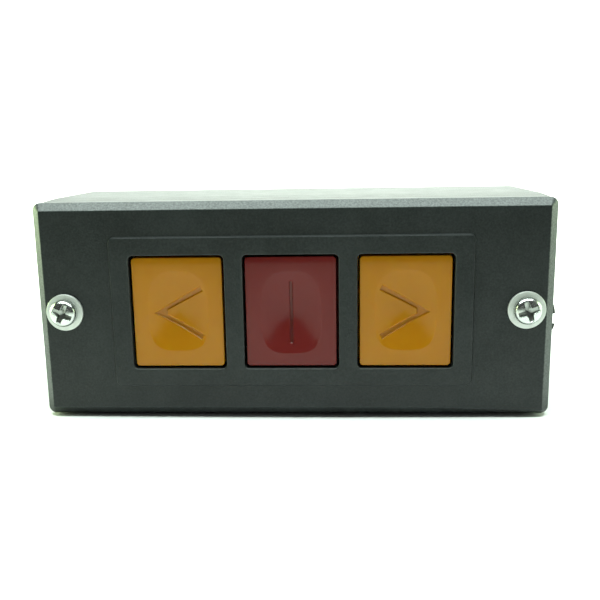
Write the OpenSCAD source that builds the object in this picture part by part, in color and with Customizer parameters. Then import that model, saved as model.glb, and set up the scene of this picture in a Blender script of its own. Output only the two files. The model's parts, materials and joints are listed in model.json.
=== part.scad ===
// Three-button push-button control station: a two-part plastic housing with two direction
// buttons and a stop button, each working a double-break contact on one insulating block.
// Row frame: origin at the middle of the rear mounting face, +Z up, buttons facing -Y.
// Each sub-part is drawn in a bench frame (x along the housing, y across it, z forward from
// the mounting face) and turned upright by stand().

/* [Housing] */
// Length of the front cover
cover_w = 102.3; // [98:0.1:110]
// Height of the front cover
cover_h = 43.4; // [40:0.1:48]
// Depth from the mounting face to the flat of the cover
housing_depth = 38; // [38:0.5:44]
// How far the cover's side walls reach back from its flat
cover_depth = 6.5; // [6:0.25:7]
// How much longer the base box is than the cover
base_extra_w = 0.5; // [0:0.1:0.8]
// How much higher the base box is than the cover
base_extra_h = 0.4; // [0:0.1:0.8]
// Wall thickness of the base box and the cover's sides
wall = 2.5; // [2.2:0.1:2.8]
// Radius of the housing's long edges
corner_r = 1.4; // [0.8:0.1:2]
// Bevel round the cover's flat
bevel = 1.6; // [0.8:0.05:1.7]
// Corner radius of the flat inside the bevel
flat_r = 0.25; // [0.2:0.05:0.6]
// Thickness of the cover's front plate
plate = 2.2; // [1.8:0.1:2.4]

/* [Button panel] */
// Length of the raised panel round the windows
panel_w = 71.5; // [70:0.1:74]
// Height of the raised panel
panel_h = 30.2; // [28:0.2:32]
// How far the panel stands above the cover's flat
panel_rise = 0.6; // [0.2:0.1:0.8]
// Corner radius of the panel
panel_r = 1.2; // [0.5:0.1:2]
// Sideways shift of the panel, and all that works behind it, from the housing's middle
group_x = -0.3; // [-0.5:0.1:0.5]
// Upward shift of the same group
group_y = -0.2; // [-0.5:0.1:0.5]

/* [Buttons] */
// Width of one button
button_w = 17.9; // [17:0.1:18.5]
// Height of one button
button_h = 22; // [20:0.25:23]
// Distance between neighbouring buttons
button_pitch = 22.5; // [22.4:0.1:23]
// Gap round a button in its window
button_gap = 0.5; // [0.3:0.05:0.6]
// How far a button face lies below the panel
button_recess = 0.6; // [0.4:0.1:1.2]
// Travel of a button
travel = 3; // [2:0.1:3]
// Width of the finger dish
dish_w = 12; // [9:0.1:13]
// Height of the finger dish
dish_h = 16.4; // [13:0.1:18]
// Depth of the finger dish at its middle
dish_drop = 1.4; // [0.6:0.1:1.5]
// Width of the engraved marks
groove_w = 0.9; // [0.5:0.05:1]
// Depth of the engraved marks below the button face
groove_depth = 1.75; // [1.6:0.05:1.9]

/* [Fasteners] */
// Distance between the two cover screws
cover_screw_spacing = 91.2; // [90:0.1:92]
// Diameter of the cover screws' washers
washer_d = 7.4; // [7:0.1:7.6]
// Diameter of the pan heads
head_d = 5.4; // [5:0.1:5.6]
// Distance between the two wall-fixing holes
wall_hole_spacing = 77; // [76:0.5:78]
// Diameter of the wall-fixing holes
wall_hole_d = 4.5; // [4:0.1:5]

/* [Cable entry] */
// Diameter of the bushing's bore
cable_bore_d = 6; // [4:0.5:6.5]
// How far the bushing stands out of the end wall
bushing_reach = 5.7; // [4:0.05:8]
// Height of the cable entry from the housing's middle
cable_y = -6.2; // [-7:0.1:-6]
// Distance of the cable entry from the mounting face
cable_z = 16; // [15.5:0.5:16.5]

/* [Hidden] */

$fn = 64;
eps = 0.01;

// Places along x
left_x = -button_pitch;
stop_x = 0;
right_x = button_pitch;
cover_screw_x = cover_screw_spacing / 2;
block_screw_x = button_pitch / 2;

// Housing levels along z
base_w = cover_w + base_extra_w;
base_h = cover_h + base_extra_h;
seam_z = housing_depth - cover_depth;
plate_z = housing_depth - plate;
panel_z = housing_depth + panel_rise;
tongue_h = 2;
tongue_gap = 0.15;
cover_rim = 1.2;
tongue_w = cover_w - 2 * cover_rim - 2 * tongue_gap;
tongue_h_across = cover_h - 2 * cover_rim - 2 * tongue_gap;
inner_r = 1;
boss_d = 7;
boss_floor_z = 21;
boss_top_z = seam_z + tongue_h - 0.1;
cover_boss_z = seam_z + tongue_h + 0.1;
collar_wall = 1.6;
collar_z = plate_z - 2.8;

// Threaded joints: a nominal M3 shank and the bore that its thread runs in
screw_d = 2.9;
tapped_d = 3;
clear_d = 3.4;
head_h = 2.1;
head_round_r = 5;
washer_t = 0.6;
insert_d = 4.6;
insert_l = 6;
insert_gap = 0.04;
cover_screw_l = 12;
small_head_h = 1.9;
recess_reach = 2;
recess_wing = 0.95;

// Button cap levels along z
face_z = panel_z - button_recess;
flange_t = 1.5;
flange_over = 1.3;
flange_gap = 0.05;
cap_foot_z = collar_z - flange_gap - flange_t;
cap_wall = 1.6;
cap_roof_z = face_z - 2.4;
cap_r = 0.7;
mark_y = -0.2;
socket_d = 9;
socket_bore_d = 5.04;
socket_roof_z = cap_roof_z - 0.5;

// Contact block levels along z
block_w = 66;
block_h = 30;
block_z = 7;
block_t = 10;
block_top_z = block_z + block_t;
pin_bore_d = 6.08;
pin_bore_floor_z = block_z + 1;
rib_t = 1.5;
rib_h = 6;
rib_from_y = 4;
pad_d = 8;
pad_bore_floor_z = 2;
block_seat_z = block_z + 3.4;
block_screw_l = 8;
counterbore_d = 6.4;

// Fixed contacts
strip_w = 6;
strip_t = 0.8;
strip_from_y = 5.4;
tip_d = 3;
tip_t = 0.6;
tip_y = 7.2;
terminal_y = 12;
terminal_hole_floor_z = block_top_z - 5;
clamp_size = 5.8;
clamp_t = 0.8;
terminal_screw_l = 6;

// Moving contact and plunger
contact_gap_closed = 0.05;
fixed_tip_z = block_top_z + strip_t + tip_t;
bridge_tip_z = fixed_tip_z + travel + contact_gap_closed;
bridge_z = bridge_tip_z + tip_t;
bridge_w = 5;
bridge_l = 17.6;
bridge_t = 0.8;
carrier_size = 8;
carrier_foot_z = block_top_z + travel + contact_gap_closed;
carrier_top_z = 28;
carrier_slot_w = 5.2;
carrier_slot_top_z = 27;
pin_d = 6;
pin_foot_z = 14.5;
pin_chamfer = 0.5;
stem_d = 5;
stem_top_z = socket_roof_z - 0.3;

// Springs: mean radius, wire diameter and turns
return_r = 2.4;
return_wire_d = 0.5;
return_turns = 5;
contact_spring_r = 1.7;
contact_wire_d = 0.36;
contact_turns = 5;
coil_steps = 16;
wire_sides = 6;

// Cable bushing, along its own axis from the housing's end face
bushing_root_d = 13;
bushing_tip_d = 9;
bushing_tip_r = 1;
bushing_neck_d = 8.9;
bushing_hole_d = 9;
bushing_flange_d = 11;
bushing_flange_t = 1.7;
bushing_slit = 1.9;
lead_in_d = 7.2;
lead_in_end = 0.3;

// Turns a sub-part from the bench frame into the row frame
module stand() {
  rotate([90, 0, 0]) children();
}

// Shifts the panel's group to its place behind the windows
module group() {
  translate([group_x, group_y, 0]) children();
}

module rounded_rect(w, h, r) {
  square([w - 2 * r, h], center = true);
  square([w, h - 2 * r], center = true);
  for (sx = [-1, 1], sy = [-1, 1])
    translate([sx * (w / 2 - r), sy * (h / 2 - r)]) circle(r = r);
}

module rounded_block(w, h, r, z0, z1) {
  translate([0, 0, z0]) linear_extrude(z1 - z0) rounded_rect(w, h, r);
}

module rod(d, z0, z1) {
  translate([0, 0, z0]) cylinder(d = d, h = z1 - z0);
}

module at_ends(x) {
  for (s = [-1, 1]) translate([s * x, 0, 0]) children();
}

module at_buttons() {
  for (x = [left_x, stop_x, right_x]) translate([x, 0, 0]) children();
}

// Rear box: five walls, a tongue round the rim, cover bosses, pads for the contact block,
// wall-fixing holes and the cable entry
module base_box() {
  color([0.15, 0.16, 0.15]) stand() difference() {
    union() {
      difference() {
        union() {
          rounded_block(base_w, base_h, corner_r, 0, seam_z);
          rounded_block(tongue_w, tongue_h_across, inner_r, seam_z - 1, seam_z + tongue_h);
        }
        rounded_block(base_w - 2 * wall, base_h - 2 * wall, inner_r, wall, housing_depth);
      }
      at_ends(cover_screw_x) rod(boss_d, boss_floor_z, boss_top_z);
      group() {
        at_ends(block_screw_x) rod(pad_d, wall - 1, block_z);
        at_ends(block_w / 2 - 3) translate([-1, -block_h / 2 + 2, wall - 1])
          cube([2, block_h - 4, block_z - wall + 1]);
      }
    }
    at_ends(cover_screw_x) {
      rod(insert_d, boss_top_z - insert_l - 0.1, boss_top_z + 1);
      rod(clear_d, boss_floor_z + 2, boss_top_z);
    }
    group() at_ends(block_screw_x) rod(tapped_d, pad_bore_floor_z, block_z + 1);
    at_ends(wall_hole_spacing / 2) rod(wall_hole_d, -1, wall + 1);
    translate([base_w / 2 - wall - 1, cable_y, cable_z])
      rotate([0, 90, 0]) cylinder(d = bushing_hole_d, h = wall + 2);
  }
}

// Front cover: a shallow tray with a bevelled flat, a raised panel, three collared windows
// and two screw holes
module front_cover() {
  color([0.17, 0.18, 0.17]) stand() difference() {
    union() {
      difference() {
        union() {
          rounded_block(cover_w, cover_h, corner_r, seam_z, housing_depth - bevel);
          hull() {
            rounded_block(cover_w, cover_h, corner_r, housing_depth - bevel - eps,
              housing_depth - bevel, $fn = 32);
            rounded_block(cover_w - 2 * bevel, cover_h - 2 * bevel, flat_r,
              housing_depth - eps, housing_depth, $fn = 32);
          }
        }
        rounded_block(cover_w - 2 * wall, cover_h - 2 * wall, inner_r, seam_z - 1, plate_z);
        rounded_block(cover_w - 2 * cover_rim, cover_h - 2 * cover_rim, inner_r,
          seam_z - 1, cover_boss_z + 0.1);
      }
      group() rounded_block(panel_w, panel_h, panel_r, plate_z, panel_z);
      group() at_buttons() rounded_block(button_w + 2 * button_gap + 2 * collar_wall,
        button_h + 2 * button_gap + 2 * collar_wall, 1.5, collar_z, housing_depth - 0.5);
      at_ends(cover_screw_x) rod(boss_d, cover_boss_z, housing_depth - 0.5);
    }
    group() at_buttons() rounded_block(button_w + 2 * button_gap, button_h + 2 * button_gap,
      cap_r + button_gap / 2, seam_z, panel_z + 1);
    at_ends(cover_screw_x) rod(clear_d, seam_z, housing_depth + 1);
  }
}

// Four tapered wings of a cross recess, sunk from height z
module cross_recess(z, reach, depth, t) {
  for (a = [0, 90])
    rotate([0, 0, a]) translate([0, t / 2, z]) rotate([90, 0, 0]) linear_extrude(t)
      polygon([[-reach, eps], [reach, eps], [reach * 0.4, -depth], [-reach * 0.4, -depth]]);
}

// Pan-head screw whose head rests at height z
module pan_screw(z, l, h, turn) {
  difference() {
    union() {
      translate([0, 0, z]) intersection() {
        cylinder(d = head_d, h = h);
        translate([0, 0, h - head_round_r]) sphere(r = head_round_r);
      }
      rod(screw_d, z - l, z + eps);
    }
    rotate([0, 0, turn]) cross_recess(z + h, recess_reach, 1.4, recess_wing);
  }
}

module ring(d, hole, z0, t) {
  difference() {
    rod(d, z0, z0 + t);
    rod(hole, z0 - 1, z0 + t + 1);
  }
}

module cover_screw(side, turn) {
  color([0.8, 0.8, 0.78]) stand() translate([side * cover_screw_x, 0, 0])
    pan_screw(housing_depth + washer_t, cover_screw_l, head_h, turn);
}

module cover_washer(side) {
  color([0.75, 0.75, 0.73]) stand() translate([side * cover_screw_x, 0, 0])
    ring(washer_d, 3.2, housing_depth, washer_t);
}

module cover_insert(side) {
  color([0.75, 0.6, 0.3]) stand() translate([side * cover_screw_x, 0, 0])
    ring(insert_d - insert_gap, tapped_d, boss_top_z - insert_l, insert_l);
}

// Insulating block: a bore for each plunger's pin, tapped terminal holes, counterbored
// fixing holes and barrier ribs between the terminals
module contact_block() {
  color([0.35, 0.2, 0.12]) stand() group() difference() {
    union() {
      rounded_block(block_w, block_h, 1, block_z, block_top_z);
      for (s = [-1, 1], x = [-block_screw_x, block_screw_x])
        translate([x - rib_t / 2, s > 0 ? rib_from_y : -block_h / 2, block_top_z - 1])
          cube([rib_t, block_h / 2 - rib_from_y, rib_h + 1]);
      at_ends(block_w / 2 - rib_t / 2)
        translate([-rib_t / 2, -block_h / 2 + 1, block_top_z - 1])
          cube([rib_t, block_h - 2, rib_h + 1]);
    }
    at_buttons() {
      rod(pin_bore_d, pin_bore_floor_z, block_top_z + 1);
      for (s = [-1, 1]) translate([0, s * terminal_y, 0])
        rod(tapped_d, terminal_hole_floor_z, block_top_z + 1);
    }
    at_ends(block_screw_x) {
      rod(clear_d, block_z - 1, block_top_z);
      rod(counterbore_d, block_seat_z, block_top_z + 1);
    }
  }
}

module block_screws() {
  color([0.7, 0.7, 0.68]) stand() group() at_ends(block_screw_x)
    pan_screw(block_seat_z, block_screw_l, small_head_h, 20);
}

// Split rubber bushing: inner flange, neck through the end wall and a tapered nose; its
// wider lead-in stops where the nose starts to grip the cable
module cable_bushing() {
  color([0.08, 0.08, 0.08]) stand()
    translate([base_w / 2, cable_y, cable_z]) rotate([0, 90, 0]) difference() {
      union() {
        rod(bushing_flange_d, -wall - bushing_flange_t, -wall);
        rod(bushing_neck_d, -wall - eps, eps);
        rod(bushing_root_d, 0, 1);
        translate([0, 0, 1]) cylinder(d1 = bushing_root_d - 0.6,
          d2 = bushing_tip_d, h = bushing_reach - 1 - bushing_tip_r);
        translate([0, 0, bushing_reach - bushing_tip_r]) cylinder(d1 = bushing_tip_d,
          d2 = bushing_tip_d - bushing_tip_r, h = bushing_tip_r);
      }
      rod(lead_in_d, -wall - bushing_flange_t - 1, lead_in_end);
      rod(cable_bore_d, 0, bushing_reach + 1);
      translate([-bushing_root_d, -bushing_slit / 2, 1])
        cube([2 * bushing_root_d, bushing_slit, bushing_reach]);
    }
}

// Marks, drawn on a button whose middle is at the origin
module bar_mark() {
  bar_w = 0.75;
  rounded_rect(bar_w, 12.8, bar_w / 2 - eps);
}

// A chevron that points along +x or, with side -1, along -x: its arms taper a little
// towards their ends and meet in a sharp tip with a short web inside it
module arrow_mark(side) {
  tip = 4.5;
  arm_end = [-4.8, 5];
  run = arm_end - [tip, 0];
  across = groove_w / 2 * [-run[1], run[0]] / norm(run);
  outer_end = arm_end - across;
  inner_end = arm_end + across;
  web = [tip - 2.6, 0.5];
  scale([side, 1]) polygon([[tip, 0], outer_end, inner_end, web,
    [web[0], -web[1]], [inner_end[0], -inner_end[1]], [outer_end[0], -outer_end[1]]]);
}

// Button cap at x: a flanged cup with a finger dish, an engraved mark and a socket for
// the plunger's stem
module button_cap(x, tint) {
  dish_edge = 0.1;
  dish_round = pow(dish_h / 2, 2) / (2 * (dish_drop - dish_edge));
  color(tint) stand() group() translate([x, 0, 0]) difference() {
    union() {
      difference() {
        union() {
          rounded_block(button_w, button_h, cap_r, cap_foot_z, face_z);
          rounded_block(button_w + 2 * flange_over, button_h + 2 * flange_over, cap_r,
            cap_foot_z, cap_foot_z + flange_t);
        }
        rounded_block(button_w - 2 * cap_wall, button_h - 2 * cap_wall, cap_r,
          cap_foot_z - 1, cap_roof_z);
      }
      rod(socket_d, carrier_top_z, cap_roof_z + 0.5);
    }
    rod(socket_bore_d, carrier_top_z - 1, socket_roof_z);
    translate([0, mark_y, 0]) {
      intersection() {
        rounded_block(dish_w, dish_h, 3, face_z - 2, face_z + 1);
        translate([-button_w, 0, face_z + dish_round - dish_drop]) rotate([0, 90, 0])
          cylinder(r = dish_round, h = 2 * button_w, $fn = 128);
      }
      translate([0, 0, face_z - groove_depth]) linear_extrude(groove_depth + 1) children();
    }
  }
}

module left_button() {
  button_cap(left_x, [0.75, 0.5, 0.16]) arrow_mark(-1);
}

module stop_button() {
  button_cap(stop_x, [0.48, 0.16, 0.13]) bar_mark();
}

module right_button() {
  button_cap(right_x, [0.75, 0.5, 0.16]) arrow_mark(1);
}

// Plunger at x: stem into the cap, slotted carrier for the contact bridge, guide pin
module plunger(x) {
  color([0.85, 0.83, 0.76]) stand() group() translate([x, 0, 0]) difference() {
    union() {
      rod(stem_d, carrier_top_z - eps, stem_top_z);
      rounded_block(carrier_size, carrier_size, 0.6, carrier_foot_z, carrier_top_z);
      rod(pin_d, pin_foot_z + pin_chamfer, carrier_foot_z + eps);
      translate([0, 0, pin_foot_z])
        cylinder(d1 = pin_d - 2 * pin_chamfer, d2 = pin_d, h = pin_chamfer);
    }
    translate([-carrier_slot_w / 2, -carrier_size, bridge_z])
      cube([carrier_slot_w, 2 * carrier_size, carrier_slot_top_z - bridge_z]);
  }
}

// One ring of wire at angle a of a helix with mean radius r and rise per turn p
function wire_ring(r, wire, p, a, z0) =
  let (
    slope = atan2(p, 2 * PI * r),
    along = [-sin(a) * sin(slope), cos(a) * sin(slope), -cos(slope)]
  )
  [for (k = [0 : wire_sides - 1])
    let (b = 360 * k / wire_sides)
    [r * cos(a), r * sin(a), z0 + p * a / 360]
      + wire / 2 * (cos(b) * [cos(a), sin(a), 0] - sin(b) * along)];

// Coil spring on the z axis from z0 to z1
module coil_spring(r, wire, turns, z0, z1) {
  p = (z1 - z0 - wire) / turns;
  rings = turns * coil_steps;
  points = [for (i = [0 : rings]) each wire_ring(r, wire, p, 360 * i / coil_steps,
    z0 + wire / 2)];
  sides = [for (i = [0 : rings - 1], k = [0 : wire_sides - 1])
    let (n = (k + 1) % wire_sides)
    [i * wire_sides + k, i * wire_sides + n,
      (i + 1) * wire_sides + n, (i + 1) * wire_sides + k]];
  first = [for (k = [wire_sides - 1 : -1 : 0]) k];
  last = [for (k = [0 : wire_sides - 1]) rings * wire_sides + k];
  polyhedron(points = points, faces = concat([first], sides, [last]));
}

module return_spring(x) {
  color([0.7, 0.72, 0.74]) stand() group() translate([x, 0, 0])
    coil_spring(return_r, return_wire_d, return_turns, pin_bore_floor_z, pin_foot_z);
}

module contact_spring(x) {
  color([0.7, 0.72, 0.74]) stand() group() translate([x, 0, 0])
    coil_spring(contact_spring_r, contact_wire_d, contact_turns,
      bridge_z + bridge_t, carrier_slot_top_z);
}

module at_tips(x) {
  for (s = [-1, 1]) translate([x, s * tip_y, 0]) children();
}

module at_terminals(x) {
  for (s = [-1, 1]) translate([x, s * terminal_y, 0]) children();
}

module contact_bridge(x) {
  color([0.8, 0.62, 0.3]) stand() group() translate([x, 0, 0])
    rounded_block(bridge_w, bridge_l, 0.8, bridge_z, bridge_z + bridge_t);
}

module bridge_tips(x) {
  color([0.85, 0.85, 0.85]) stand() group() at_tips(x) rod(tip_d, bridge_tip_z, bridge_z);
}

module fixed_tips(x) {
  color([0.85, 0.85, 0.85]) stand() group() at_tips(x)
    rod(tip_d, block_top_z + strip_t, fixed_tip_z);
}

module fixed_contacts(x) {
  strip_l = block_h / 2 - strip_from_y;
  color([0.8, 0.62, 0.3]) stand() group() difference() {
    for (s = [-1, 1]) translate([x, s * (strip_from_y + strip_l / 2), 0])
      rounded_block(strip_w, strip_l, 0.6, block_top_z, block_top_z + strip_t);
    at_terminals(x) rod(3.2, block_top_z - 1, block_top_z + strip_t + 1);
  }
}

module wire_clamps(x) {
  z = block_top_z + strip_t;
  color([0.78, 0.78, 0.74]) stand() group() at_terminals(x) difference() {
    rounded_block(clamp_size, clamp_size, 0.4, z, z + clamp_t);
    rod(3.2, z - 1, z + clamp_t + 1);
  }
}

module terminal_screws(x) {
  color([0.7, 0.7, 0.68]) stand() group() at_terminals(x)
    pan_screw(block_top_z + strip_t + clamp_t, terminal_screw_l, small_head_h, 35);
}

base_box();
front_cover();
cover_screw(-1, 71);  // cover_screw_left
cover_screw(1, 14);  // cover_screw_right
cover_washer(-1);  // cover_washer_left
cover_washer(1);  // cover_washer_right
cover_insert(-1);  // cover_insert_left
cover_insert(1);  // cover_insert_right
contact_block();
block_screws();
cable_bushing();
left_button();
stop_button();
right_button();
plunger(left_x);  // left_plunger
plunger(stop_x);  // stop_plunger
plunger(right_x);  // right_plunger
return_spring(left_x);  // left_return_spring
return_spring(stop_x);  // stop_return_spring
return_spring(right_x);  // right_return_spring
contact_bridge(left_x);  // left_contact_bridge
contact_bridge(stop_x);  // stop_contact_bridge
contact_bridge(right_x);  // right_contact_bridge
bridge_tips(left_x);  // left_bridge_tips
bridge_tips(stop_x);  // stop_bridge_tips
bridge_tips(right_x);  // right_bridge_tips
contact_spring(left_x);  // left_contact_spring
contact_spring(stop_x);  // stop_contact_spring
contact_spring(right_x);  // right_contact_spring
fixed_contacts(left_x);  // left_fixed_contacts
fixed_contacts(stop_x);  // stop_fixed_contacts
fixed_contacts(right_x);  // right_fixed_contacts
fixed_tips(left_x);  // left_fixed_tips
fixed_tips(stop_x);  // stop_fixed_tips
fixed_tips(right_x);  // right_fixed_tips
wire_clamps(left_x);  // left_wire_clamps
wire_clamps(stop_x);  // stop_wire_clamps
wire_clamps(right_x);  // right_wire_clamps
terminal_screws(left_x);  // left_terminal_screws
terminal_screws(stop_x);  // stop_terminal_screws
terminal_screws(right_x);  // right_terminal_screws
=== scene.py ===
# Three-button hand controller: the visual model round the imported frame, and its studio.
# Lengths in the drawing functions are millimetres in the bench frame of the CAD source:
# x along the housing, y up, z forward from the mounting face. point() turns them into the
# row frame in metres.
import json
import math

import bmesh
import bpy
import numpy as np
from mathutils import Matrix, Vector
from mathutils.geometry import tessellate_polygon


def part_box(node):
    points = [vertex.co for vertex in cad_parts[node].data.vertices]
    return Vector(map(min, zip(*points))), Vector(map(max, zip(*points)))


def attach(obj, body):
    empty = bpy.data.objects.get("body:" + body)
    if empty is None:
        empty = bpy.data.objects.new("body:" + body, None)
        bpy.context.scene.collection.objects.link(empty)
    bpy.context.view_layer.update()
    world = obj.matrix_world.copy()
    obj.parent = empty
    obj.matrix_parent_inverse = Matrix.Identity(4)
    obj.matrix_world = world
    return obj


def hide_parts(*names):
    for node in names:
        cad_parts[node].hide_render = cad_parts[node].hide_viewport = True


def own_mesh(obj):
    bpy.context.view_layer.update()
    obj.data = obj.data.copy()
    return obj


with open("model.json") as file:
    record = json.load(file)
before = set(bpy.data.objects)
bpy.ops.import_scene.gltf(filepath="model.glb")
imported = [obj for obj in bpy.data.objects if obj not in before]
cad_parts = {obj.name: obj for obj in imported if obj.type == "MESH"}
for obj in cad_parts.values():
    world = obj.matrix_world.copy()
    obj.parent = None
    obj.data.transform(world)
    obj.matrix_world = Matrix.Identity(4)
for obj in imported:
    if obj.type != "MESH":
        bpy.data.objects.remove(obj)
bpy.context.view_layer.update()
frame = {"nodes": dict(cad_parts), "record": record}

MM = 0.001


def bench_box(node):
    """Lowest and highest corner of a CAD node in bench millimetres."""
    lo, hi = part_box(node)
    return ((lo.x / MM, lo.z / MM, -hi.y / MM), (hi.x / MM, hi.z / MM, -lo.y / MM))


def middle(node):
    """Middle of a CAD node in bench millimetres."""
    lo, hi = bench_box(node)
    return [(a + b) / 2 for a, b in zip(lo, hi)]


# ---------------------------------------------------------------- sizes from the frame
COVER_LO, COVER_HI = bench_box("front_cover")
BASE_LO, BASE_HI = bench_box("base_box")
COVER_W = COVER_HI[0] - COVER_LO[0]
COVER_H = COVER_HI[1] - COVER_LO[1]
BASE_W = BASE_HI[0] - BASE_LO[0]
BASE_H = BASE_HI[1] - BASE_LO[1]
SEAM_Z = COVER_LO[2]
PANEL_Z = COVER_HI[2]
WASHER_LO, WASHER_HI = bench_box("cover_washer_left")
FLAT_Z = WASHER_LO[2]
KEYS = ("left", "stop", "right")
KEY_X = {k: middle(f"{k}_plunger")[0] for k in KEYS}
GROUP_X, GROUP_Y = middle("stop_plunger")[:2]
SCREW_X = {s: middle(f"cover_washer_{s}")[0] for s in ("left", "right")}

# ---------------------------------------------------------------- sizes of the mouldings
PANEL_W, PANEL_H, PANEL_R = 71.5, 30.2, 1.2
WINDOW_W, WINDOW_H, WINDOW_R = 18.9, 23.0, 0.95
WALL, PLATE, FLOOR = 2.5, 2.2, 2.5       # sides, front plate and back of the housing
INNER_R = 1.0                            # corners inside the housing
RIM, TONGUE_GAP = 1.2, 0.15              # cover's lip outside the base box's tongue
BEVEL = 1.6
BEVEL_ABOVE, BEVEL_BELOW = 0.05, 0.14    # how the bevel's inner edge strays from an even width
BEVEL_LOWER_RIGHT = 0.72                 # and by how much it closes in at the lower right
BUTTON_W, BUTTON_H, BUTTON_R = 17.9, 22.0, 0.7
GROOVE_W, GROOVE_D = 1.18, 0.32          # engraved arrows: width between the brims, and depth
BAR_W, BAR_L = 0.74, 12.8                # engraved bar
MARK_DROP = 0.2                          # marks sit this far below the key's middle


# ---------------------------------------------------------------- mesh helpers
def point(x, y, z):
    """A bench point in the row frame, in metres."""
    return (x * MM, -z * MM, y * MM)


def outline(w, h, r, steps=8, cx=0.0, cy=0.0, sides=1):
    """Rounded rectangle, counter-clockwise, each straight run cut into this many pieces."""
    pts = []
    r = max(r, 1e-4)
    for k, (sx, sy) in enumerate(((1, 1), (-1, 1), (-1, -1), (1, -1))):
        for i in range(steps + 1):
            a = math.pi / 2 * (k + i / steps)
            pts.append((cx + sx * (w / 2 - r) + r * math.cos(a),
                        cy + sy * (h / 2 - r) + r * math.sin(a)))
        nx, ny = ((-1, 1), (-1, -1), (1, -1), (1, 1))[k]
        a = math.pi / 2 * (k + 1)
        far = (cx + nx * (w / 2 - r) + r * math.cos(a), cy + ny * (h / 2 - r) + r * math.sin(a))
        near = pts[-1]
        for i in range(1, sides):
            pts.append((near[0] + (far[0] - near[0]) * i / sides,
                        near[1] + (far[1] - near[1]) * i / sides))
    return pts


def circle(r, steps=64, cx=0.0, cy=0.0):
    return [(cx + r * math.cos(2 * math.pi * i / steps), cy + r * math.sin(2 * math.pi * i / steps))
            for i in range(steps)]


class Skin:
    """Vertices and faces collected ring by ring, in bench millimetres."""

    def __init__(self):
        # wear_and_painted_light: a per-point mark that the materials turn into scuffing and dirt,
        # and on the bevel and the engraved marks also into painted highlight and painted shade
        self.verts, self.faces, self.wear_and_painted_light = [], [], []

    def ring(self, flat, z, wear_and_painted_light=0.0):
        """A level ring at height z. Returns its vertex numbers."""
        return self.loop([(x, y, z) for x, y in flat], wear_and_painted_light)

    def loop(self, pts, wear_and_painted_light=0.0):
        start = len(self.verts)
        self.verts += list(pts)
        self.wear_and_painted_light += [wear_and_painted_light] * len(pts)
        return list(range(start, len(self.verts)))

    def band(self, a, b, skip=()):
        n = len(a)
        for i in range(n):
            if i not in skip:
                j = (i + 1) % n
                self.faces.append((a[i], a[j], b[j], b[i]))

    def bands(self, rings):
        for a, b in zip(rings, rings[1:]):
            self.band(a, b)

    def fill(self, outer, holes=(), plane=(0, 1)):
        """Flat face inside outer and outside the holes."""
        loops = [[Vector((self.verts[i][plane[0]], self.verts[i][plane[1]], 0)) for i in ring]
                 for ring in (outer, *holes)]
        order = [i for ring in (outer, *holes) for i in ring]
        for tri in tessellate_polygon(loops):
            if len(set(tri)) == 3:
                self.faces.append(tuple(order[i] for i in tri))

    def mesh(self, name, smooth_angle=40):
        """A Blender mesh; edges flatter than the angle shade smooth."""
        me = bpy.data.meshes.new(name)
        me.from_pydata([point(*v) for v in self.verts], [], self.faces)
        wear_and_painted_light = me.attributes.new("wear_and_painted_light", "FLOAT", "POINT")
        wear_and_painted_light.data.foreach_set("value", self.wear_and_painted_light)
        bm = bmesh.new()
        bm.from_mesh(me)
        bmesh.ops.remove_doubles(bm, verts=bm.verts, dist=1e-8)
        bmesh.ops.dissolve_degenerate(bm, edges=bm.edges, dist=1e-9)
        bmesh.ops.recalc_face_normals(bm, faces=bm.faces)
        for e in bm.edges:
            e.smooth = len(e.link_faces) == 2 and e.calc_face_angle(0) < math.radians(smooth_angle)
        for f in bm.faces:
            f.smooth = True
        bm.to_mesh(me)
        bm.free()
        return me


def weighted(obj):
    """Flats stay flat and fillets shade round."""
    mod = obj.modifiers.new("flat faces lead", "WEIGHTED_NORMAL")
    mod.mode = "FACE_AREA"
    mod.weight = 50
    mod.keep_sharp = True


def place(name, mesh, body, material, stands_for=(), lead=True):
    obj = bpy.data.objects.new(name, mesh)
    bpy.context.scene.collection.objects.link(obj)
    mesh.materials.append(material)
    if lead:
        weighted(obj)
    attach(obj, body)
    if stands_for:
        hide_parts(*stands_for)
    return obj


def rounded_profile(corners, steps=4):
    """Corners (u, v, r) of an open path, each replaced with an arc of radius r."""
    out = []
    n = len(corners)
    for i, (u, v, r) in enumerate(corners):
        if i in (0, n - 1) or r <= 0:
            out.append((u, v))
            continue
        p, a, b = Vector((u, v)), Vector(corners[i - 1][:2]), Vector(corners[i + 1][:2])
        da, db = (a - p).normalized(), (b - p).normalized()
        half = da.angle(db) / 2
        reach = min(r / math.tan(half), 0.49 * (a - p).length, 0.49 * (b - p).length)
        r = reach * math.tan(half)
        centre = p + (da + db).normalized() * (r / math.sin(half))
        s, e = p + da * reach - centre, p + db * reach - centre
        turn = s.angle(e)
        side = 1 if s.x * e.y - s.y * e.x > 0 else -1
        for k in range(steps + 1):
            t = side * turn * k / steps
            out.append((centre.x + s.x * math.cos(t) - s.y * math.sin(t),
                        centre.y + s.x * math.sin(t) + s.y * math.cos(t)))
    return out


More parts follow.
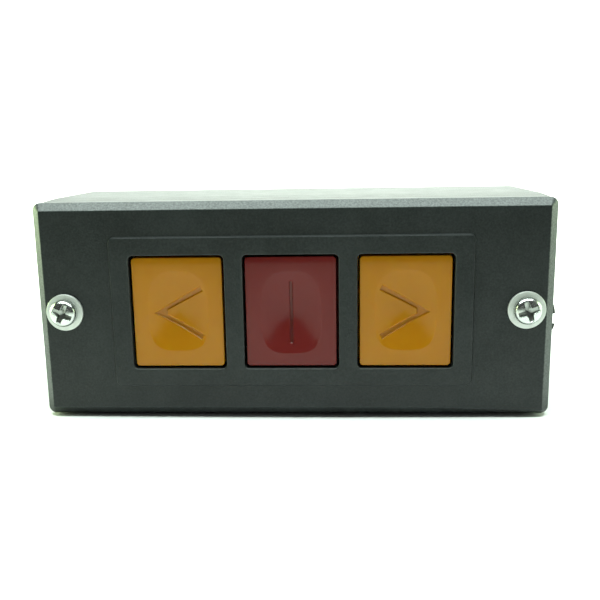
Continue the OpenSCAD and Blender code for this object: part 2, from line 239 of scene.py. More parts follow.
# ---------------------------------------------------------------- materials
class Look:
    """A Principled material with small helpers for procedural detail."""

    def __init__(self, name, **sockets):
        self.mat = bpy.data.materials.new(name)
        self.mat.use_nodes = True
        self.nodes, self.links = self.mat.node_tree.nodes, self.mat.node_tree.links
        self.shader = self.nodes["Principled BSDF"]
        for key, value in sockets.items():
            self.shader.inputs[key.replace("_", " ")].default_value = value
        self.coords = self.nodes.new("ShaderNodeTexCoord").outputs["Object"]

    def noise(self, scale, detail=3.0, rough=0.55, stretch=None, distort=0.0):
        n = self.nodes.new("ShaderNodeTexNoise")
        n.inputs["Scale"].default_value = scale
        n.inputs["Detail"].default_value = detail
        n.inputs["Roughness"].default_value = rough
        n.inputs["Distortion"].default_value = distort
        self.links.new(self.stretched(stretch), n.inputs["Vector"])
        return n.outputs["Fac"]

    def stretched(self, stretch):
        if stretch is None:
            return self.coords
        m = self.nodes.new("ShaderNodeMapping")
        m.inputs["Scale"].default_value = stretch
        self.links.new(self.coords, m.inputs["Vector"])
        return m.outputs["Vector"]

    def cells(self, scale):
        n = self.nodes.new("ShaderNodeTexVoronoi")
        n.inputs["Scale"].default_value = scale
        self.links.new(self.coords, n.inputs["Vector"])
        return n.outputs["Distance"]

    def span(self, fac, a, b, lo, hi):
        m = self.nodes.new("ShaderNodeMapRange")
        for key, value in zip(("From Min", "From Max", "To Min", "To Max"), (a, b, lo, hi)):
            m.inputs[key].default_value = value
        self.links.new(fac, m.inputs["Value"])
        return m.outputs["Result"]

    def math(self, op, a, b):
        m = self.nodes.new("ShaderNodeMath")
        m.operation = op
        for socket, value in zip(m.inputs, (a, b)):
            if isinstance(value, (int, float)):
                socket.default_value = value
            else:
                self.links.new(value, socket)
        return m.outputs["Value"]

    def mix(self, fac, a, b):
        m = self.nodes.new("ShaderNodeMix")
        m.data_type = "RGBA"
        for socket, value in ((m.inputs[0], fac), (m.inputs[6], a), (m.inputs[7], b)):
            if isinstance(value, tuple):
                socket.default_value = (*value, 1)
            elif isinstance(value, (int, float)):
                socket.default_value = value
            else:
                self.links.new(value, socket)
        return m.outputs[2]

    def attribute(self, name):
        a = self.nodes.new("ShaderNodeAttribute")
        a.attribute_name = name
        return a.outputs["Fac"]

    def to(self, key, output):
        self.links.new(output, self.shader.inputs[key])

    def bump(self, height, strength, distance):
        b = self.nodes.new("ShaderNodeBump")
        b.inputs["Strength"].default_value = strength
        b.inputs["Distance"].default_value = distance
        self.links.new(height, b.inputs["Height"])
        self.to("Normal", b.outputs["Normal"])


def housing_look(name):
    """Grained black plastic, lighter grey on marked edges: scuffing, and on the bevel a painted
    highlight too.
    """
    tint, lighter = (0.0068, 0.0095, 0.0091), (0.0175, 0.0215, 0.0214)
    scuff_and_highlight_grey = (0.12, 0.134, 0.128)
    look = Look(name, IOR=1.5, Specular_IOR_Level=0.31)
    cloud = look.noise(140, 4, 0.6)
    grain = look.noise(2600, 3, 0.6)
    speck = look.math("ADD", look.math("MULTIPLY", cloud, 0.4), look.math("MULTIPLY", grain, 0.6))
    base = look.mix(look.span(speck, 0.38, 0.62, 0, 1), tint, lighter)
    wear_and_painted_light = look.attribute("wear_and_painted_light")
    patchiness = look.span(look.noise(2600, 3, 0.6), 0.38, 0.66, 0.4, 0.98)
    # lighter grey on marked edges: scuffing, and on the bevel also painted highlight, kept weak on
    # the lower bevel as painted shade
    look.to("Base Color", look.mix(look.math("MULTIPLY", wear_and_painted_light, look.math("MULTIPLY", patchiness, 0.6)),
                                   base, scuff_and_highlight_grey))
    rough = look.math("ADD", look.span(look.noise(260, 3, 0.6), 0.3, 0.7, 0.39, 0.43),
                      look.math("MULTIPLY", wear_and_painted_light, -0.06))
    look.to("Roughness", rough)
    height = look.math("ADD", grain, look.math("MULTIPLY", look.noise(900, 2, 0.5), 0.6))
    look.bump(height, 0.9, 0.00005)
    return look.mat


def key_look(name, deep, light, dull):
    """Glossy tinted plastic; the engraved marks take a darker, duller tint, partly dust and partly
    painted shade in the grooves.
    """
    rough = 0.12
    look = Look(name, IOR=1.5, Specular_IOR_Level=0.2, Subsurface_Weight=0.3,
                Subsurface_Radius=(1.0, 0.25, 0.06), Subsurface_Scale=0.002)
    cloud = look.noise(90, 3, 0.5)
    body = look.mix(look.span(cloud, 0.3, 0.7, 0, 1), deep, light)
    # darker, duller tint in the engraved marks: dust, and painted shade in the grooves
    look.to("Base Color", look.mix(look.math("MULTIPLY", look.attribute("wear_and_painted_light"), 0.75),
                                   body, dull))
    look.to("Roughness", look.span(look.noise(300, 3, 0.55), 0.3, 0.7, rough - 0.02, rough + 0.03))
    height = look.math("ADD", look.noise(1500, 2, 0.5), look.math("MULTIPLY",
                       look.noise(240, 2, 0.5), 1.5))
    look.bump(height, 0.05, 0.00003)
    return look.mat


def metal_look(name, base, rough, brushed=None, tarnish=(0.5, 0.5, 0.47), spots=0.35):
    """Metal with dull spots, and dirt where the surface is marked."""
    dirt = (0.24, 0.25, 0.23)
    look = Look(name, Metallic=1.0)
    dull = look.span(look.noise(700, 4, 0.65), 0.48, 0.72, 0, spots)
    grime = look.math("MULTIPLY", look.attribute("wear_and_painted_light"), 0.65)
    look.to("Base Color", look.mix(grime, look.mix(dull, base, tarnish), dirt))
    soft = look.math("ADD", look.math("MULTIPLY", dull, 0.2), look.math("MULTIPLY", grime, 0.25))
    look.to("Roughness", look.math("ADD", look.span(look.noise(1100, 3, 0.6), 0.3, 0.7,
                                   rough - 0.06, rough + 0.08), soft))
    look.bump(look.noise(2600, 3, 0.6, brushed), 0.18, 0.00002)
    return look.mat


def matt_look(name, deep, light, rough, scale=400, bump=0.25, depth=0.00004):
    """Plain matt material, mottled between two tints."""
    look = Look(name, IOR=1.48)
    look.to("Base Color", look.mix(look.span(look.noise(scale / 4, 3, 0.6), 0.3, 0.7, 0, 1),
                                   deep, light))
    look.to("Roughness", look.span(look.noise(scale, 3, 0.6), 0.3, 0.7, rough - 0.06, rough + 0.06))
    look.bump(look.noise(scale * 5, 3, 0.6), bump, depth)
    return look.mat


def phenolic_look(name):
    """Brown moulding resin with fibres and flakes in it."""
    look = Look(name, IOR=1.55)
    fibres = look.noise(900, 4, 0.65, (1.0, 0.35, 1.0), 0.6)
    flakes = look.cells(1400)
    base = look.mix(look.span(fibres, 0.35, 0.65, 0, 1),
                    (0.07, 0.032, 0.016), (0.13, 0.065, 0.035))
    look.to("Base Color", look.mix(look.span(flakes, 0.0, 0.25, 0.35, 0.0), base,
                                   (0.2, 0.11, 0.06)))
    look.to("Roughness", look.span(fibres, 0.3, 0.7, 0.38, 0.55))
    look.bump(fibres, 0.2, 0.00004)
    return look.mat


MATERIALS = {
    "housing_plastic": housing_look("moulded black plastic"),
    "orange_plastic": key_look("moulded orange plastic", (0.415, 0.163, 0.004),
                               (0.44, 0.177, 0.006), (0.37, 0.14, 0.020)),
    "red_plastic": key_look("moulded red plastic", (0.143, 0.0155, 0.0140), (0.153, 0.0175, 0.0158),
                            (0.115, 0.028, 0.024)),
    "plated_steel": metal_look("bright nickel plate", (0.56, 0.59, 0.56), 0.20),
    "washer_steel": metal_look("dull nickel plate", (0.62, 0.64, 0.61), 0.55),
    "zinc_steel": metal_look("zinc plate", (0.62, 0.63, 0.62), 0.32, (1, 6, 1), (0.42, 0.43, 0.44)),
    "spring_steel": metal_look("drawn spring wire", (0.42, 0.43, 0.45), 0.3, (1, 1, 8)),
    "brass": metal_look("stamped brass", (0.74, 0.52, 0.22), 0.27, (1, 7, 1),
                        (0.42, 0.27, 0.11), 0.5),
    "silver": metal_look("silver contact alloy", (0.84, 0.83, 0.81), 0.3, None,
                         (0.35, 0.33, 0.3), 0.6),
    "phenolic": phenolic_look("moulded phenolic"),
    "ivory_plastic": matt_look("moulded ivory plastic", (0.66, 0.61, 0.48),
                               (0.74, 0.7, 0.58), 0.42),
    "rubber": matt_look("matt black rubber", (0.009, 0.011, 0.009), (0.018, 0.020, 0.017), 0.86,
                        700, 0.5, 0.00008),
}
SLOT_OF = {s["node"]: s["material_slot"] for s in frame["record"]["subparts"]}
for node_name, node_obj in frame["nodes"].items():
    node_obj.data.materials.clear()
    node_obj.data.materials.append(MATERIALS[SLOT_OF[node_name]])


# ---------------------------------------------------------------- housing
def front_cover():
    s = Skin()
    plate_in, step_z, collar_z = FLAT_Z - PLATE, SEAM_Z + 2.2, FLAT_Z - 5.0
    collar, collar_r, runs = 1.6, 1.5, 14
    hole_r, boss_r, brim = 1.7, 2.85, 0.15

    # outer side, bevel and the edge of the flat: (share of the bevel, height)
    side = rounded_profile([
        (0.5, SEAM_Z, 0), (1.0, SEAM_Z, 0.1), (1.0, FLAT_Z - 1.9, 0), (1.0, FLAT_Z - 1.5, 0.2),
        (0.0, FLAT_Z, 0.2), (-0.5, FLAT_Z, 0)])

    def edge_ring(share, z, wear_and_painted_light):
        """The bevel is a little wider below than above, and narrows at its lower right. Its lighter
        grey is partly scuffing and partly painted highlight; the lower bevel gets the least, which
        is painted shade."""
        grow = BEVEL * share
        corner_r = 0.2 + 1.25 * min(max(share, 0), 1)
        pts = outline(COVER_W - 2 * BEVEL + 2 * grow, COVER_H - 2 * BEVEL + 2 * grow,
                      corner_r, 8, sides=runs)
        inset = min(max(1 - share, 0), 1)
        out, lit_and_scuffed = [], []
        for x, y in pts:
            lower = min(max((-y - 17) / 3, 0), 1)
            right = float(smooth((x - 24) / 26))
            stray = lower * (BEVEL_BELOW - BEVEL_LOWER_RIGHT * right) + (1 - lower) * BEVEL_ABOVE
            out.append((x, y + inset * stray))
            # the lower bevel is marked least, which paints shade on it
            lit_and_scuffed.append(wear_and_painted_light * (1 - 0.8 * lower))
        ring = s.ring(out, z)
        s.wear_and_painted_light[ring[0]:] = lit_and_scuffed
        return ring

    # the bevel is marked for lighter grey: partly scuffing, partly painted highlight
    outer = [edge_ring(u, v, 1.0 if FLAT_Z - 1.8 < v < FLAT_Z - 0.02 else 0.0) for u, v in side]
    s.bands(outer)
    # rebate that takes the base box's tongue, inner wall
    rebate = [s.ring(outline(COVER_W - 2 * RIM, COVER_H - 2 * RIM, INNER_R, sides=runs), z)
              for z in (SEAM_Z, step_z)]
    inner = [s.ring(outline(COVER_W - 2 * WALL, COVER_H - 2 * WALL, INNER_R, sides=runs), z)
             for z in (step_z, plate_in)]
    s.bands([outer[0], *rebate, *inner])
    # raised panel
    edge = rounded_profile([(0.75, FLAT_Z, 0), (0.1, FLAT_Z, 0.06), (-0.16, PANEL_Z, 0.12),
                            (-1.2, PANEL_Z, 0)], 4)
    panel = [s.ring(outline(PANEL_W + 2 * u, PANEL_H + 2 * u, max(PANEL_R + u, 0.3), 8,
                            GROUP_X, GROUP_Y), v,
                    0.05 if FLAT_Z + 0.05 < v < PANEL_Z - 0.01 else 0.0) for u, v in edge]
    s.bands(panel)
    # windows, down through their collars
    rims, collars = [], []
    lip = rounded_profile([(0.6, PANEL_Z, 0), (0.17, PANEL_Z, 0.12), (0.0, PANEL_Z - 0.17, 0.12),
                           (0.0, collar_z, 0)], 4)
    for k in KEYS:
        rings = [s.ring(outline(WINDOW_W + 2 * u, WINDOW_H + 2 * u, WINDOW_R + u, 8,
                                KEY_X[k], GROUP_Y), v,
                        0.3 if collar_z < v < PANEL_Z - 0.01 else 0.0) for u, v in lip]
        foot = [s.ring(outline(WINDOW_W + 2 * collar, WINDOW_H + 2 * collar, collar_r, 8,
                               KEY_X[k], GROUP_Y), z) for z in (collar_z, plate_in)]
        s.bands([*rings, *foot])
        rims.append(rings[0])
        collars.append(foot[-1])
    s.fill(panel[-1], rims)
    # screw holes through their bosses
    mouths, bosses = [], []
    for x in SCREW_X.values():
        rings = [s.ring(circle(r, 48, x), z) for r, z in (
            (hole_r + brim, FLAT_Z), (hole_r, FLAT_Z - brim), (hole_r, SEAM_Z + 2.1),
            (boss_r, SEAM_Z + 2.1), (boss_r, plate_in))]
        s.bands(rings)
        mouths.append(rings[0])
        bosses.append(rings[-1])
    s.fill(outer[-1], [panel[0], *mouths])
    s.fill(inner[-1], [*collars, *bosses])
    return s.mesh("front_cover_shell")


def base_box():
    s = Skin()
    tongue, tongue_in = 2.0, 2 * (RIM + TONGUE_GAP)
    bushing_hole_r, wall_hole_r, wall_hole_x, brim = 4.5, 2.25, 38.5, 0.2
    _, cable_y, cable_z = middle("cable_bushing")
    side = rounded_profile([(-1.5, 0.0, 0), (0.0, 0.0, 0.45), (0.0, SEAM_Z - 6, 9.0),
                            (-0.2, SEAM_Z, 0.1), (-1.2, SEAM_Z, 0)], 5)
    outer = [s.ring(outline(BASE_W + 2 * u, BASE_H + 2 * u, max(0.3, 1.3 + u), 8), v,
                    0.0 if i in (0, len(side) - 1) else 0.15) for i, (u, v) in enumerate(side)]
    walls = [i for i in range(len(side) - 1)
             if abs(side[i][0] - side[i + 1][0]) < 1e-6 and side[i + 1][1] - side[i][1] > 5][0]
    right = len(outer[0]) - 1    # the straight run at +x joins the last point to the first
    for i, (a, b) in enumerate(zip(outer, outer[1:])):
        s.band(a, b, skip=(right,) if i == walls else ())
    # tongue and cavity
    top = [s.ring(outline(COVER_W - tongue_in, COVER_H - tongue_in, INNER_R), z)
           for z in (SEAM_Z, SEAM_Z + tongue)]
    cavity = [s.ring(outline(BASE_W - 2 * WALL, BASE_H - 2 * WALL, INNER_R), z)
              for z in (SEAM_Z + tongue, FLOOR)]
    s.bands([outer[-1], *top, cavity[0]])
    s.band(*cavity, skip=(right,))
    # hole for the cable bushing, through the right wall
    holes = [s.loop([(x, cable_y + a, cable_z + b) for a, b in circle(bushing_hole_r, 48)])
             for x in (BASE_W / 2, BASE_W / 2 - WALL)]
    a, b = outer[walls], outer[walls + 1]
    s.fill([a[right], a[0], b[0], b[right]], [holes[0]], plane=(1, 2))
    a, b = cavity
    s.fill([a[right], a[0], b[0], b[right]], [holes[1]], plane=(1, 2))
    s.band(*holes)
    # wall-fixing holes through the back
    backs, floors = [], []
    for x in (-wall_hole_x, wall_hole_x):
        rings = [s.ring(circle(r, 48, x), z) for r, z in
                 ((wall_hole_r + brim, 0.0), (wall_hole_r, brim), (wall_hole_r, FLOOR))]
        s.bands(rings)
        backs.append(rings[0])
        floors.append(rings[-1])
    s.fill(outer[0], backs)
    s.fill(cavity[-1], floors)
    # bosses that hold the inserts, each hollowed for its insert and screw
    for x in SCREW_X.values():
        lathe(s, x, [(1.7, 22.9), (1.7, 27.3), (2.3, 27.3), (2.3, 33.4), (3.4, 33.4), (3.4, 21.0),
                     (1.7, 21.0)], 48)
    # round and straight pads under the contact block, sunk a little into the back
    pad_foot, pad_top, rest_x = FLOOR - 0.2, 7.0, 30
    for k in ("left", "right"):
        lathe(s, KEY_X[k] / 2 + GROUP_X / 2, [(1.5, pad_foot), (1.5, pad_top), (4.0, pad_top),
                                              (4.0, pad_foot)], 48, GROUP_Y)
    for x in (GROUP_X - rest_x, GROUP_X + rest_x):
        foot = [s.ring(outline(2, 26, 0.2, 2, x, GROUP_Y), z) for z in (pad_foot, pad_top)]
        s.bands(foot)
        s.fill(foot[0])
        s.fill(foot[1])
    return s.mesh("base_box_shell")


def lathe(s, x, closed, steps, y=0.0):
    """A closed profile of (radius, height) turned about an upright axis."""
    rings = [s.ring(circle(r, steps, x, y), z) for r, z in closed]
    s.bands([*rings, rings[0]])


# ---------------------------------------------------------------- keys
def smooth(t):
    """0 below 0, 1 above 1, and a smooth step between."""
    t = np.clip(t, 0, 1)
    return t * t * (3 - 2 * t)


def polygon_distance(px, py, poly):
    """Signed distance to a polygon, negative inside."""
    d = np.full(px.shape, 1e9)
    inside = np.zeros(px.shape, bool)
    n = len(poly)
    for i in range(n):
        (ax, ay), (bx, by) = poly[i], poly[(i + 1) % n]
        ex, ey = bx - ax, by - ay
        t = np.clip(((px - ax) * ex + (py - ay) * ey) / (ex * ex + ey * ey), 0, 1)
        d = np.minimum(d, np.hypot(px - ax - t * ex, py - ay - t * ey))
        crosses = (ay > py) != (by > py)
        with np.errstate(divide="ignore", invalid="ignore"):
            at = ax + (py - ay) * ex / (ey if ey else 1e-12)
        inside ^= crosses & (px < at)
    return np.where(inside, -d, d)


def box_distance(px, py, w, h, r):
    """Signed distance to a rounded rectangle round the origin."""
    qx, qy = np.abs(px) - (w / 2 - r), np.abs(py) - (h / 2 - r)
    return np.hypot(np.maximum(qx, 0), np.maximum(qy, 0)) + np.minimum(np.maximum(qx, qy), 0) - r


def chevron(side):
    """Outline of an arrow mark, with a short upright edge inside its corner."""
    tip, end, web = 4.9, (-4.8, 5.0), (2.3, 0.5)
    run = (end[0] - tip, end[1])
    size = math.hypot(*run)
    across = (-run[1] * GROOVE_W / 2 / size, run[0] * GROOVE_W / 2 / size)
    outer = (end[0] - across[0], end[1] - across[1])
    inner = (end[0] + across[0], end[1] + across[1])
    half = [(tip, 0), outer, inner, web]
    return [(side * x, y) for x, y in half + [(x, -y) for x, y in reversed(half[1:])]]


def mark_distance(key, x, y):
    """Signed distance to the edge of the key's engraved mark."""
    if key == "stop":
        return box_distance(x, y, BAR_W, BAR_L, BAR_W / 2 - 0.01)
    return polygon_distance(x, y, chevron(-1 if key == "left" else 1))


def dish_depth(x, y, w=12.1, h=16.5, deep=1.4):
    """A finger hollow, steepest at its rim and level in its middle: oval inside, squarer
    towards its rim, and the rim crisper below than above."""
    low = np.clip(-y / 4, -1, 1)
    u, v = np.abs(x) / (w / 2), np.abs(y) / (h / 2)
    inner = 2.25
    oval = np.clip((u ** inner + v ** inner) ** (1 / inner), 0, 1)
    power = inner + (0.8 + 0.35 * low) * oval ** 3
    rho = (u ** power + v ** power) ** (1 / power)
    fall = 1 - rho ** 1.5
    soft = 0.04 - 0.025 * low
    return deep * (fall + np.sqrt(fall ** 2 + soft ** 2)) / 2


def crown(y, h):
    """How far the face falls away along its top edge."""
    reach, fall = 1.5, 0.12
    return fall * np.clip((y - (h / 2 - reach)) / reach, 0, 1) ** 2


def button(key):
    lo, hi = bench_box(f"{key}_button")
    cx, cy, face_z = KEY_X[key], GROUP_Y, hi[2]
    flange_z, foot_z, flange = 32.95, 31.45, 1.3
    wall, roof_z = 1.6, face_z - 2.4
    socket_r, bore_r, bore_roof_z = 4.5, 2.52, face_z - 2.9
    brim, slope = 0.06, 0.24     # the marks' edges: rounded outside, sloped inside
    w, h, r = BUTTON_W, BUTTON_H, BUTTON_R
    step = 0.1
    nx, ny = round((w - 2 * r) / step) + 1, round((h - 2 * r) / step) + 1
    gx, gy = np.meshgrid(np.linspace(-w / 2 + r, w / 2 - r, nx),
                         np.linspace(-h / 2 + r, h / 2 - r, ny))
    # the arrow keys' hollows end a little higher than the stop key's
    if key == "stop":
        hollow = dish_depth(gx, gy + MARK_DROP)
    else:
        hollow = dish_depth(gx, gy - 0.2, h=16.1)
    z = face_z - hollow - crown(gy, h)
    cut = smooth((mark_distance(key, gx, gy + MARK_DROP) - brim) / -slope)
    z -= GROOVE_D * cut
    s = Skin()
    start = s.loop([(cx + a, cy + b, c) for a, b, c in zip(gx.ravel(), gy.ravel(), z.ravel())])[0]
    # the engraved marks get the darker groove tint: dust and painted shade
    s.wear_and_painted_light[start:] = list(cut.ravel())

    def at(i, j):
        return start + j * nx + i

    for j in range(ny - 1):
        for i in range(nx - 1):
            s.faces.append((at(i, j), at(i + 1, j), at(i + 1, j + 1), at(i, j + 1)))
    # edge of the grid, with each corner repeated where the skirt fans out round it
    fan = 6
    runs = [[at(nx - 1, j) for j in range(ny)], [at(i, ny - 1) for i in range(nx - 1, -1, -1)],
            [at(0, j) for j in range(ny - 1, -1, -1)], [at(i, 0) for i in range(nx)]]
    edge, outward = [], []
    for k, run in enumerate(runs):
        for v in run[:-1]:
            edge.append(v)
            outward.append(math.pi / 2 * k)
        for q in range(fan):
            edge.append(run[-1])
            outward.append(math.pi / 2 * (k + q / fan))
    # skirt, flange that holds the key in, and foot: (reach outwards, height, rounding)
    profile = rounded_profile([(0.2, face_z, 0), (r, face_z, 0.15), (r + 0.03, flange_z, 0.12),
                               (r + flange, flange_z, 0.1), (r + flange, foot_z, 0.1),
                               (r - wall, foot_z, 0)], 5)
    previous = edge
    base = [s.verts[v] for v in edge]
    for u, v in profile:
        crowned = 1.0 if v > face_z - 1 else 0.0     # only the skirt's top edge follows the face
        ring = s.loop([(bx + u * math.cos(a), by + u * math.sin(a),
                        v - crowned * float(crown(by + u * math.sin(a) - cy, h)))
                       for (bx, by, _), a in zip(base, outward)])
        if previous is edge:
            for i in range(len(ring)):
                j = (i + 1) % len(ring)
                if edge[i] == edge[j]:
                    s.faces.append((edge[i], ring[j], ring[i]))
                else:
                    s.faces.append((edge[i], edge[j], ring[j], ring[i]))
        else:
            s.band(previous, ring)
        previous = ring
    # hollow underside and the socket for the plunger's stem
    roof = s.loop([(bx + (r - wall) * math.cos(a), by + (r - wall) * math.sin(a), roof_z)
                   for (bx, by, _), a in zip(base, outward)])
    s.band(previous, roof)
    socket = [s.ring(circle(q, 48, cx, cy), v) for q, v in (
        (socket_r, roof_z), (socket_r, lo[2]), (bore_r, lo[2]), (bore_r, bore_roof_z))]
    s.bands(socket)
    s.fill(roof, [socket[0]])
    s.fill(socket[-1])
    return s.mesh(f"{key}_cap", 55)


# ---------------------------------------------------------------- screws, washers, bushing
def recess_depth(x, y, turn):
    """Depth of a cross recess: four wings whose floors slope down to the middle."""
    a = math.radians(turn)
    u, v = x * math.cos(a) + y * math.sin(a), -x * math.sin(a) + y * math.cos(a)
    u, v = np.abs(u), np.abs(v)
    along, across = np.maximum(u, v), np.minimum(u, v)
    reach, hub, edge = 2.02, 0.92, 0.18
    wing = np.maximum(across - (0.62 - 0.09 * along), along - reach)
    cone = (along + across) * 0.7 - hub
    return (1.55 - 0.6 * np.clip(along, 0, 2.1)) * smooth(-np.minimum(wing, cone) / edge + 0.1)


def pan_head(side, turn):
    lo, hi = bench_box(f"cover_screw_{side}")
    x0, top, seat = SCREW_X[side], hi[2], WASHER_HI[2]
    radius, dome, domed = (hi[0] - lo[0]) / 2, 5.5, 1.9
    shank_r, shank_len, tip_r, tip_len = 1.5, 11.5, 1.1, 0.5
    around, out = ((144, 48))
    # (radius, drop from the top): a shallow dome that turns down in a rounded edge
    lean = math.asin(domed / dome)
    edge_r = (radius - domed) / (1 - math.sin(lean))
    path = [(domed * i / out, dome - math.sqrt(dome ** 2 - (domed * i / out) ** 2))
            for i in range(1, out + 1)]
    path += [(domed + edge_r * (math.sin(t) - math.sin(lean)),
              path[-1][1] + edge_r * (math.cos(lean) - math.cos(t)))
             for t in (lean + (math.pi / 2 - lean) * i / 16 for i in range(1, 17))]
    s = Skin()
    rings = []
    for r, drop in path:
        x, y = (np.array(v) for v in zip(*circle(r, around)))
        deep = recess_depth(x, y, turn)
        rings.append(s.loop(list(zip(x0 + x, y, top - drop - deep))))
        s.wear_and_painted_light[rings[-1][0]:] = list(np.clip(deep / 0.5, 0, 1))      # the recess is dirty
    middle_z = top - float(recess_depth(np.array([0.0]), np.array([0.0]), turn)[0])
    hub = s.loop([(x0, 0.0, middle_z)], 1.0)[0]
    for k in range(around):
        s.faces.append((hub, rings[0][k], rings[0][(k + 1) % around]))
    shank = [s.ring(circle(r, around, x0), z) for r, z in (
        (radius, seat + 0.1), (radius - 0.1, seat), (shank_r, seat),
        (shank_r - 0.05, seat - shank_len), (tip_r, seat - shank_len - tip_len))]
    s.bands([*rings, *shank])
    s.fill(shank[-1])
    return s.mesh(f"cover_screw_{side}_pan", 50)


def washer(side):
    s = Skin()
    r, z0, z1 = (WASHER_HI[0] - WASHER_LO[0]) / 2, WASHER_LO[2], WASHER_HI[2]
    hole_r, half_z = 1.62, (z0 + z1) / 2
    path = rounded_profile([(hole_r, half_z, 0), (hole_r, z1, 0.1), (r, z1, 0.16), (r, z0, 0.1),
                            (hole_r, z0, 0.1), (hole_r, half_z, 0)], 5)[:-1]
    lathe(s, SCREW_X[side], path, 96)
    return s.mesh(f"cover_washer_{side}_ring", 40)


def turned(s, path, centre, start=0.0, end=360.0, slit=0.0, steps=64):
    """A closed (radius, reach) path turned about an axis along x; a part turn gets end caps,
    and stops short of its start and end planes by the same distance (slit) at every radius."""
    cx, cy, cz = centre
    full = end - start > 359.9
    count = steps if full else max(3, round(steps * (end - start) / 360))
    loops = []
    for k in range(count if full else count + 1):
        loop = []
        for r, reach in path:
            trim = math.degrees(math.asin(slit / r))
            a = math.radians(start + trim + (end - start - 2 * trim) * k / count)
            loop.append((cx + reach, cy + r * math.cos(a), cz + r * math.sin(a)))
        loops.append(s.loop(loop))
    for a, b in zip(loops, loops[1:] + (loops[:1] if full else [])):
        s.band(a, b)
    if not full:
        for ring in (loops[0], loops[-1]):
            pts = [Vector((r, reach, 0)) for r, reach in path]
            for tri in tessellate_polygon([pts]):
                s.faces.append(tuple(ring[i] for i in tri))


def bushing():
    lo, hi = bench_box("cable_bushing")
    face, foot = BASE_W / 2, -WALL - 1.7
    reach = hi[0] - face
    tip, bore, slit = reach - 0.3, 3.0, 1.15
    centre = (face, (lo[1] + hi[1]) / 2, (lo[2] + hi[2]) / 2)
    s = Skin()
    # snap ring inside the wall, neck, flange, and the stepped bore: (radius, reach, rounding)
    turned(s, rounded_profile([
        (4.0, foot, 0), (5.5, foot, 0.2), (5.5, -WALL, 0.2), (4.45, -WALL, 0.0),
        (4.45, 0.0, 0.0), (6.5, 0.0, 0.1), (6.5, 1.0, 0.25), (bore, 1.0, 0.0), (bore, 0.3, 0.0),
        (3.6, 0.3, 0.0), (3.6, foot, 0.0), (4.0, foot, 0)])[:-1], centre)
    # two jaws of the tapered nose, with the slit between them
    jaw = rounded_profile([
        (3.3, 0.98, 0), (6.15, 0.98, 0.0), (3.9, reach - 1.9, 0.4), (3.25, tip, 0.2),
        (bore, tip, 0.08), (bore, 0.98, 0.0), (3.3, 0.98, 0)], 5)[:-1]
    for k in (0, 1):
        turned(s, jaw, centre, 90 + 180 * k, 270 + 180 * k, slit)
    return s.mesh("cable_bushing_body", 45)


def coil(key):
    """Return spring of round wire with closed ends, and the row-frame y of its fixed end."""
    lo, hi = bench_box(f"{key}_return_spring")
    wire = 0.5
    mean = (hi[0] - lo[0]) / 2 - wire / 2
    z0, z1 = lo[2] + wire / 2, hi[2] - wire / 2
    steps, turns, closed, sides = 24, 6.0, 0.9, 10
    s = Skin()
    rings = []
    n = int(steps * turns)
    for i in range(n + 1):
        t = i / n * turns
        rise = np.interp(t, [0, closed, turns - closed, turns],
                         [z0, z0 + wire * closed, z1 - wire * closed, z1])
        a = 2 * math.pi * t
        c, q = math.cos(a), math.sin(a)
        rings.append(s.loop([(KEY_X[key] + (mean + wire / 2 * math.cos(b)) * c,
                              GROUP_Y + (mean + wire / 2 * math.cos(b)) * q,
                              rise + wire / 2 * math.sin(b))
                             for b in (2 * math.pi * k / sides for k in range(sides))]))
    s.bands(rings)
    s.fill(rings[0], plane=(0, 2))
    s.fill(rings[-1], plane=(0, 2))
    return s.mesh(f"{key}_return_coil", 60), -lo[2] * MM


# ---------------------------------------------------------------- pieces
M = MATERIALS
SCREW_TURN = {"left": 65, "right": 19}       # degrees that each cross recess is turned by
place("front_cover_shell", front_cover(), "housing", M["housing_plastic"],
      ("front_cover",))
place("base_box_shell", base_box(), "housing", M["housing_plastic"],
      ("base_box",))
for k in KEYS:
    hue = "red_plastic" if k == "stop" else "orange_plastic"
    place(f"{k}_cap", button(k), f"{k}_key", M[hue], (f"{k}_button",), lead=False)
    spring, fixed_y = coil(k)
    piece = place(f"{k}_return_coil", spring, "housing", M["spring_steel"],
                  (f"{k}_return_spring",), lead=False)
    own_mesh(piece)
for side, turn in SCREW_TURN.items():
    place(f"cover_screw_{side}_pan", pan_head(side, turn), "housing", M["plated_steel"],
          (f"cover_screw_{side}",), lead=False)
    place(f"cover_washer_{side}_ring", washer(side), "housing", M["washer_steel"],
          (f"cover_washer_{side}",))
place("cable_bushing_body", bushing(), "housing", M["rubber"], ("cable_bushing",))


# ---------------------------------------------------------------- studio
def stage_floor():
    """A pale sweep: level floor that curves up behind the object."""
    z = BASE_LO[1] * MM
    near, bend_y, bend_r, height, half_w = -1.2, 0.35, 0.45, 1.2, 2.0
    path = [(near, z), (bend_y, z)]
    path += [(bend_y + bend_r * math.sin(a), z + bend_r * (1 - math.cos(a)))
             for a in (math.pi / 2 * i / 24 for i in range(1, 25))]
    path += [(bend_y + bend_r, z + height)]
    # the sheet hollows by a fraction of a millimetre under the object's middle
    sunk, hollow, hollow_x, hollow_w = 0.0001, 0.0003, 0.006, 0.045
    across = [-half_w, -0.3, *(0.01 * i for i in range(-12, 13)), 0.3, half_w]
    verts = [(x, y, v - sunk - hollow * math.exp(-((x - hollow_x) / hollow_w) ** 2))
             for y, v in path for x in across]
    n = len(across)
    faces = [(n * i + k, n * i + k + 1, n * (i + 1) + k + 1, n * (i + 1) + k)
             for i in range(len(path) - 1) for k in range(n - 1)]
    me = bpy.data.meshes.new("sweep")
    me.from_pydata(verts, [], faces)
    for p in me.polygons:
        p.use_smooth = True
    look = Look("white paper", Roughness=0.9, Specular_IOR_Level=0.1)
    look.to("Base Color", look.mix(look.span(look.noise(60, 3, 0.6), 0.3, 0.7, 0, 1),
                                   (0.86, 0.86, 0.86), (0.88, 0.88, 0.88)))
    me.materials.append(look.mat)
    obj = bpy.data.objects.new("sweep", me)
    bpy.context.scene.collection.objects.link(obj)


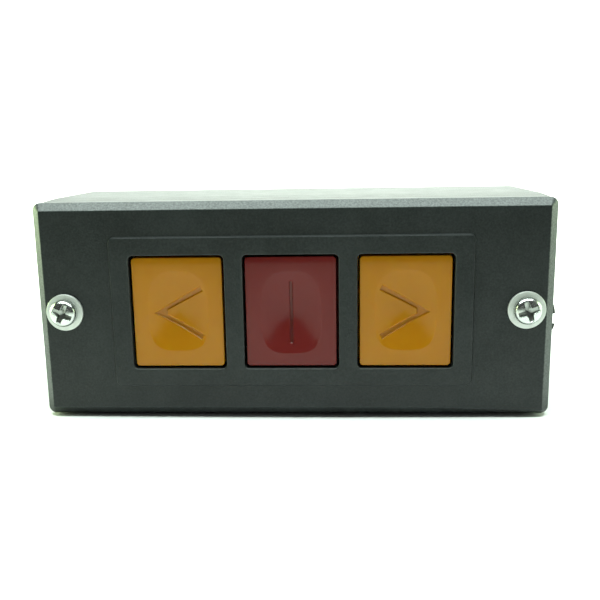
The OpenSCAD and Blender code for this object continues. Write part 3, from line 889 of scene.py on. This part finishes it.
def panel_light(name, at, aim, size, power, tint):
    """A soft light that shines from one point towards another, and isn't seen itself."""
    light = bpy.data.lights.new(name, "AREA")
    light.shape = "RECTANGLE"
    light.size, light.size_y = size
    light.energy = power
    light.color = tint
    obj = bpy.data.objects.new(name, light)
    obj.location = at
    obj.rotation_mode = "QUATERNION"
    obj.rotation_quaternion = (Vector(aim) - Vector(at)).to_track_quat("-Z", "Y")
    obj.visible_camera = False
    bpy.context.scene.collection.objects.link(obj)


def studio():
    """A dark room with a strip over the object, a light on the backdrop and one at each side."""
    ambient = 0.08
    world = bpy.data.worlds.new("studio")
    bpy.context.scene.world = world
    world.use_nodes = True
    world.node_tree.nodes["Background"].inputs["Color"].default_value = (1, 1, 1, 1)
    world.node_tree.nodes["Background"].inputs["Strength"].default_value = ambient
    # name, where it stands, what it faces, size, watts, tint
    panel_light("top", (0, -0.046, 0.21), (0, -0.046, 0), (0.34, 0.085), 1.32, (0.87, 1.0, 0.95))
    panel_light("back", (0, 0.30, 0.45), (0, 0.8, 0.10), (1.2, 0.3), 17.0, (0.90, 1.0, 0.91))
    panel_light("left", (-0.42, 0.14, 0.10), (0, 0, 0.03), (0.5, 0.22), 3.4, (0.76, 1.0, 0.54))
    panel_light("right", (0.42, 0.14, 0.10), (0, 0, 0.03), (0.5, 0.22), 2.2, (0.78, 1.0, 0.68))


def camera():
    """Photo's viewpoint: just above the cover's top edge and right of its middle, looking
    12 degrees down and 3 degrees to the left, slightly rolled."""
    cam = bpy.data.cameras.new("camera")
    cam.sensor_width, cam.lens = 36.0, 44.835
    cam.clip_start, cam.clip_end = 0.01, 10
    obj = bpy.data.objects.new("camera", cam)
    pitch, yaw, roll = -0.20228, 0.04867, 0.015969
    right_of_middle, before_face, above_top = 0.00852, 0.14394, 0.01005
    turn = (Matrix.Rotation(yaw, 3, "Z") @ Matrix.Rotation(pitch, 3, "X")
            @ Matrix.Rotation(roll, 3, "Y"))
    right, ahead, up = turn.col
    axes = Matrix((right, up, -ahead)).transposed()
    at = (right_of_middle, -before_face - FLAT_Z * MM, above_top + COVER_HI[1] * MM)
    obj.matrix_world = Matrix.Translation(at) @ axes.to_4x4()
    bpy.context.scene.collection.objects.link(obj)
    bpy.context.scene.camera = obj


stage_floor()
studio()
camera()
bpy.context.scene.view_settings.view_transform = "Standard"
